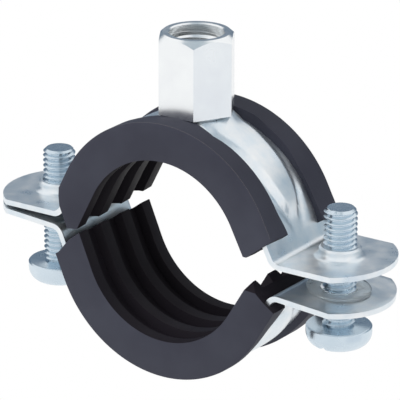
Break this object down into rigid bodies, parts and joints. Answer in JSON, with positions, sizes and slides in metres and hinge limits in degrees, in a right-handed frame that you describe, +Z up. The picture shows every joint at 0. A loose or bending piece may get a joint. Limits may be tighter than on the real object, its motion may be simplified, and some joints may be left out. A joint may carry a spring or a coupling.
{
  "type": "rubber lined pipe clamp",
  "caption": "Two pressed steel half bands with rubber liners round a pipe seat, a tall hexagon connection nut on top and a locking screw through the ears at each side, standing open.",
  "frame": {"origin": "centre of the pipe seat in the upper half, midway between its front and back faces", "axes": "+X across the clamp towards the right-hand ear, Y along the pipe with -Y towards the viewer, +Z up along the connection nut"},
  "size_m": [0.0812, 0.0222, 0.0625],
  "materials": {
    "zinc_plated_band": "bright zinc plating on pressed sheet steel, smooth with faint mottling",
    "zinc_plated_nut": "bright zinc plating on a machined hexagon",
    "zinc_plated_screw": "bluish bright zinc plating",
    "rubber_liner": "matt extruded rubber, charcoal black",
    "clear_washer": "clear flexible plastic, glossy"
  },
  "bodies": {
    "upper_half": {"upper_band": "zinc_plated_band", "upper_liner": "rubber_liner", "connection_nut": "zinc_plated_nut"},
    "lower_half": {"lower_band": "zinc_plated_band", "lower_liner": "rubber_liner", "left_captive_washer": "clear_washer", "right_captive_washer": "clear_washer"},
    "left_screw": {"left_screw": "zinc_plated_screw"},
    "right_screw": {"right_screw": "zinc_plated_screw"}
  },
  "joints": [
    {"name": "lower_half_close", "type": "hinge", "parent": "upper_half", "child": "lower_half", "pos_m": [-0.03075, 0, 0.00026], "axis": [0, -1, 0], "range_deg": [0, 4.1]},
    {"name": "left_screw_travel", "type": "slide", "parent": "upper_half", "child": "left_screw", "axis": [0, 0, 1], "range_m": [-0.006, 0.01]},
    {"name": "right_screw_travel", "type": "slide", "parent": "upper_half", "child": "right_screw", "axis": [0, 0, 1], "range_m": [0, 0.0097]}
  ],
  "couplings": [
    {"joint": "right_screw_travel", "follows": "lower_half_close", "m_per_rad": 0.1335}
  ]
}
